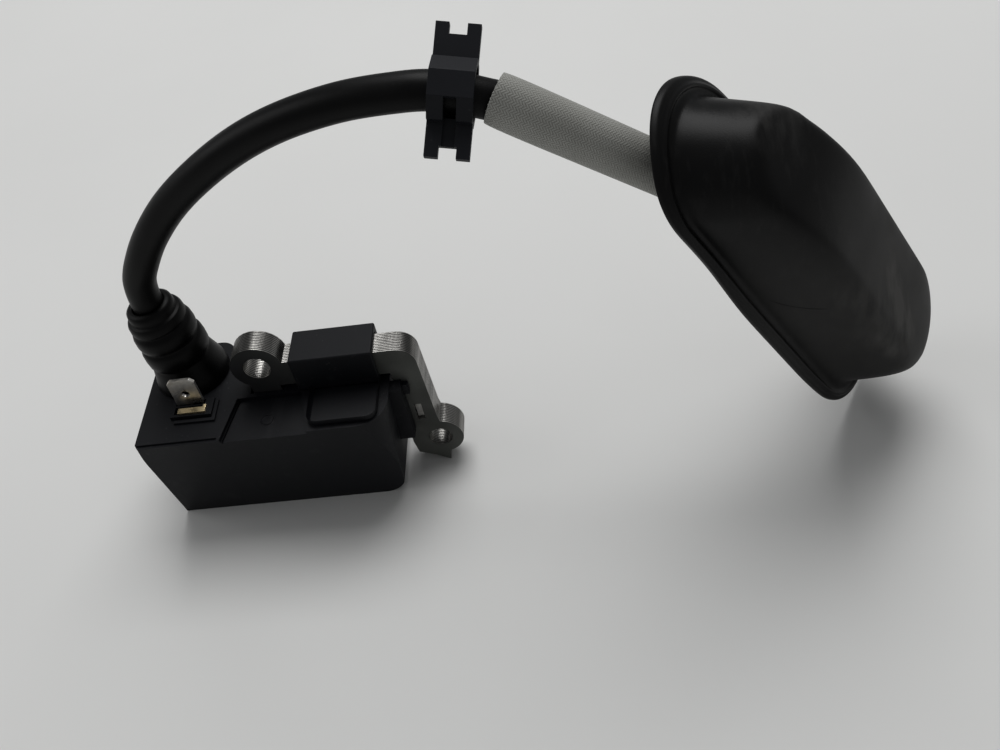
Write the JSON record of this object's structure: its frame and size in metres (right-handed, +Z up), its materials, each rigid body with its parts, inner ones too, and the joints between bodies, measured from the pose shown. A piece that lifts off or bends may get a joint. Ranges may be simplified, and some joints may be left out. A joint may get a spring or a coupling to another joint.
{
  "type": "ignition coil",
  "caption": "Potted ignition coil on a laminated U core, with a high-tension lead, wire guide, heat sleeve and a rubber spark plug cover.",
  "frame": {"origin": "bottom centre of the coil module's box (housing, core and strain relief), on the surface it rests on", "axes": "+Z up out of the terminal face, +X along the yoke from the strain relief towards the outer leg, +Y from the blank front face to the potted back"},
  "size_m": [0.1769, 0.0448, 0.1128],
  "materials": {
    "black_nylon": "finely spark-eroded glass-filled nylon",
    "resin": "cured black potting resin",
    "core_steel": "punched silicon steel with bright cut edges",
    "former": "moulded coil former",
    "copper": "enamelled copper wire, wound",
    "board": "glass-epoxy board",
    "capacitor_dip": "dipped capacitor",
    "component_black": "moulded component body",
    "resistor_body": "lacquered resistor body",
    "tinned_steel": "tinned spade blade",
    "brass": "plain brass strip",
    "relief_rubber": "moulded rubber",
    "lead_jacket": "extruded silicone-rubber jacket",
    "glass_fibre": "braided glass-fibre sleeve, resin coated",
    "cover_rubber": "moulded rubber with dusty scuffs",
    "connector_rubber": "moulded rubber",
    "spring_steel": "plated spring wire"
  },
  "bodies": {
    "module": {"coil_housing": "black_nylon", "potting_resin": "resin", "yoke_cover": "black_nylon", "primary_bobbin": "former", "primary_winding": "copper", "secondary_bobbin": "former", "secondary_winding": "copper", "circuit_board": "board", "charge_capacitor": "capacitor_dip", "power_transistor": "component_black", "trigger_resistor": "resistor_body", "rectifier_diode": "component_black", "spade_terminal": "tinned_steel", "terminal_strip": "brass", "strain_relief": "relief_rubber", "high_tension_pin": "brass", "ignition_lead": "lead_jacket", "plug_cover": "cover_rubber", "plug_connector": "connector_rubber", "contact_spring": "spring_steel", "core_stake_leg": "core_steel", "core_stake_yoke": "core_steel", "lamination_01": "core_steel", "lamination_02": "core_steel", "lamination_03": "core_steel", "lamination_04": "core_steel", "lamination_05": "core_steel", "lamination_06": "core_steel", "lamination_07": "core_steel", "lamination_08": "core_steel", "lamination_09": "core_steel", "lamination_10": "core_steel", "lamination_11": "core_steel", "lamination_12": "core_steel"},
    "guide": {"wire_guide": "black_nylon"},
    "sleeve": {"heat_sleeve": "glass_fibre"}
  },
  "joints": [
    {"name": "wire_guide_turn", "type": "hinge", "parent": "module", "child": "guide", "pos_m": [0.0506, -0.00822, 0.10387], "axis": [0.9765, -0.0801, -0.2003], "range_deg": [-180, 180]},
    {"name": "heat_sleeve_slide", "type": "slide", "parent": "module", "child": "sleeve", "axis": [0.7572, 0.142, -0.6376], "range_m": [0, 0.004]}
  ]
}
